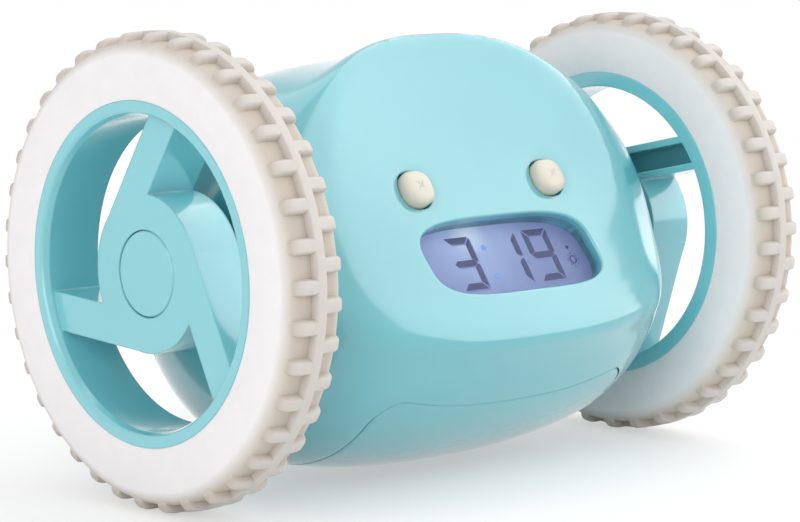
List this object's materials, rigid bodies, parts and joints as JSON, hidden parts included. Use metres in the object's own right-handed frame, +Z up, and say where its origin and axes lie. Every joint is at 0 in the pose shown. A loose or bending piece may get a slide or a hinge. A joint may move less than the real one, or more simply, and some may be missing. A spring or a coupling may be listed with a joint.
{
  "type": "runaway alarm clock",
  "caption": "Wheeled alarm clock that drives off when it rings: barrel body with a tilted face, liquid crystal display and eye-like buttons between wide-tyred spoked wheels.",
  "frame": {"origin": "on the floor, below the middle of the axle", "axes": "+X along the axle from the left wheel to the right one, -Y the way the face looks, +Z up"},
  "size_m": [0.1332, 0.0868, 0.0868],
  "materials": {
    "shell": "glossy moulded aqua plastic",
    "hub": "glossy moulded aqua plastic",
    "tyre": "soft off-white rubber, slightly dull",
    "buttons": "smooth off-white plastic",
    "window": "clear moulded plastic window",
    "display": "liquid crystal panel with a blue light behind it",
    "inner_plastic": "natural moulded plastic",
    "gears": "white moulded plastic",
    "board": "green solder mask on glass-fibre board",
    "black_plastic": "black plastic",
    "battery": "printed jacket on a metal can",
    "motor_can": "bright plated can",
    "shaft_steel": "ground steel",
    "contacts": "nickel-plated spring steel",
    "speaker_metal": "plated pressed steel",
    "screws": "zinc-plated steel"
  },
  "bodies": {
    "case": {"front_shell": "shell", "rear_shell": "shell", "battery_tray": "inner_plastic", "battery_1": "battery", "battery_2": "battery", "battery_3": "battery", "battery_4": "battery", "battery_contacts_left": "contacts", "battery_contacts_right": "contacts", "display_window": "window", "lcd_panel": "display", "lcd_frame": "inner_plastic", "main_board": "board", "controller_chip": "black_plastic", "left_eye_switch": "black_plastic", "right_eye_switch": "black_plastic", "speaker_basket": "speaker_metal", "speaker_cone": "black_plastic", "rear_board": "board", "case_screws": "screws", "left_motor": "motor_can", "left_gear_pin": "shaft_steel", "left_inner_plate": "inner_plastic", "left_outer_plate": "inner_plastic", "left_bush": "inner_plastic", "right_motor": "motor_can", "right_gear_pin": "shaft_steel", "right_inner_plate": "inner_plastic", "right_outer_plate": "inner_plastic", "right_bush": "inner_plastic"},
    "battery_door": {"battery_door": "shell", "door_screw": "screws"},
    "left_wheel": {"left_hub": "hub", "left_hub_cap": "hub", "left_wheel_screw": "screws", "left_tyre": "tyre", "left_wheel_shaft": "shaft_steel", "left_output_gear": "gears"},
    "left_drive": {"left_drive_gear": "gears"},
    "left_rotor": {"left_motor_shaft": "shaft_steel", "left_motor_pinion": "gears"},
    "left_eye_button": {"left_eye_button": "buttons"},
    "right_wheel": {"right_hub": "hub", "right_hub_cap": "hub", "right_wheel_screw": "screws", "right_tyre": "tyre", "right_wheel_shaft": "shaft_steel", "right_output_gear": "gears"},
    "right_drive": {"right_drive_gear": "gears"},
    "right_rotor": {"right_motor_shaft": "shaft_steel", "right_motor_pinion": "gears"},
    "right_eye_button": {"right_eye_button": "buttons"},
    "hour_button": {"hour_button": "buttons"},
    "minute_button": {"minute_button": "buttons"},
    "alarm_slider": {"alarm_slider": "buttons"}
  },
  "joints": [
    {"name": "left_wheel_spin", "type": "hinge", "parent": "case", "child": "left_wheel", "pos_m": [-0.0604, 0, 0.0434], "axis": [1, 0, 0], "continuous": true},
    {"name": "left_gear_spin", "type": "hinge", "parent": "case", "child": "left_drive", "pos_m": [-0.0364, 0.01357, 0.04979], "axis": [1, 0, 0], "continuous": true},
    {"name": "left_motor_spin", "type": "hinge", "parent": "case", "child": "left_rotor", "pos_m": [-0.0334, 0.0011, 0.05066], "axis": [1, 0, 0], "continuous": true},
    {"name": "right_wheel_spin", "type": "hinge", "parent": "case", "child": "right_wheel", "pos_m": [0.0604, 0, 0.0434], "axis": [1, 0, 0], "continuous": true},
    {"name": "right_gear_spin", "type": "hinge", "parent": "case", "child": "right_drive", "pos_m": [0.0364, 0.01357, 0.04979], "axis": [1, 0, 0], "continuous": true},
    {"name": "right_motor_spin", "type": "hinge", "parent": "case", "child": "right_rotor", "pos_m": [0.0334, 0.0011, 0.05066], "axis": [1, 0, 0], "continuous": true},
    {"name": "left_eye_press", "type": "slide", "parent": "case", "child": "left_eye_button", "axis": [0, 0.8231, -0.5678], "range_m": [0, 0.001], "stiffness_N_per_m": 300},
    {"name": "right_eye_press", "type": "slide", "parent": "case", "child": "right_eye_button", "axis": [0, 0.8231, -0.5678], "range_m": [0, 0.001], "stiffness_N_per_m": 300},
    {"name": "hour_press", "type": "slide", "parent": "case", "child": "hour_button", "axis": [0, -0.7071, -0.7071], "range_m": [0, 0.0008], "stiffness_N_per_m": 300},
    {"name": "minute_press", "type": "slide", "parent": "case", "child": "minute_button", "axis": [0, -0.7071, -0.7071], "range_m": [0, 0.0008], "stiffness_N_per_m": 300},
    {"name": "alarm_switch_slide", "type": "slide", "parent": "case", "child": "alarm_slider", "axis": [1, 0, 0], "range_m": [0, 0.004]},
    {"name": "battery_door_lift", "type": "slide", "parent": "case", "child": "battery_door", "axis": [0, -0.1736, -0.9848], "range_m": [0, 0.025]}
  ],
  "couplings": [
    {"joint": "left_gear_spin", "follows": "left_wheel_spin", "ratio": -4},
    {"joint": "left_motor_spin", "follows": "left_wheel_spin", "ratio": 16},
    {"joint": "right_gear_spin", "follows": "right_wheel_spin", "ratio": -4},
    {"joint": "right_motor_spin", "follows": "right_wheel_spin", "ratio": 16}
  ]
}
